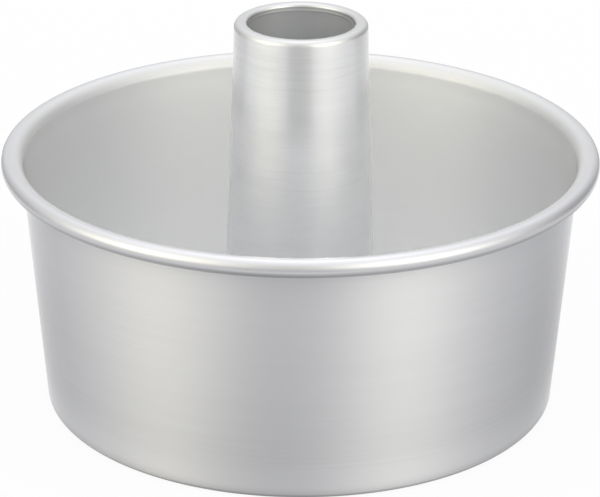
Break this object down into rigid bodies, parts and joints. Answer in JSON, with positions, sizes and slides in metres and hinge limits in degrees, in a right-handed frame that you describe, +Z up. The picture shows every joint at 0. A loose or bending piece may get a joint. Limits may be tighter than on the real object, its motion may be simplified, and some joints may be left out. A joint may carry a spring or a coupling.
{
  "type": "angel food cake pan",
  "caption": "Round tapered tube pan for angel food cake, with a rolled rim and a lift-out base plate that carries a tall centre tube.",
  "frame": {"origin": "centre of the circle the pan stands on, on the table plane", "axes": "+Z straight up along the tube, X and Y level; the pan is round, so X and Y have no special side"},
  "size_m": [0.216, 0.216, 0.1425],
  "materials": {
    "wall_sheet": "satin anodised, fine circular spinning lines outside, matte inside",
    "plate_sheet": "matte anodised",
    "tube_sheet": "satin anodised with fine circular lines"
  },
  "bodies": {
    "pan_ring": {"pan_wall": "wall_sheet"},
    "insert": {"base_plate": "plate_sheet", "centre_tube": "tube_sheet"}
  },
  "joints": [
    {"name": "insert_lift", "type": "slide", "parent": "pan_ring", "child": "insert", "axis": [0, 0, 1], "range_m": [0, 0.0992]}
  ]
}
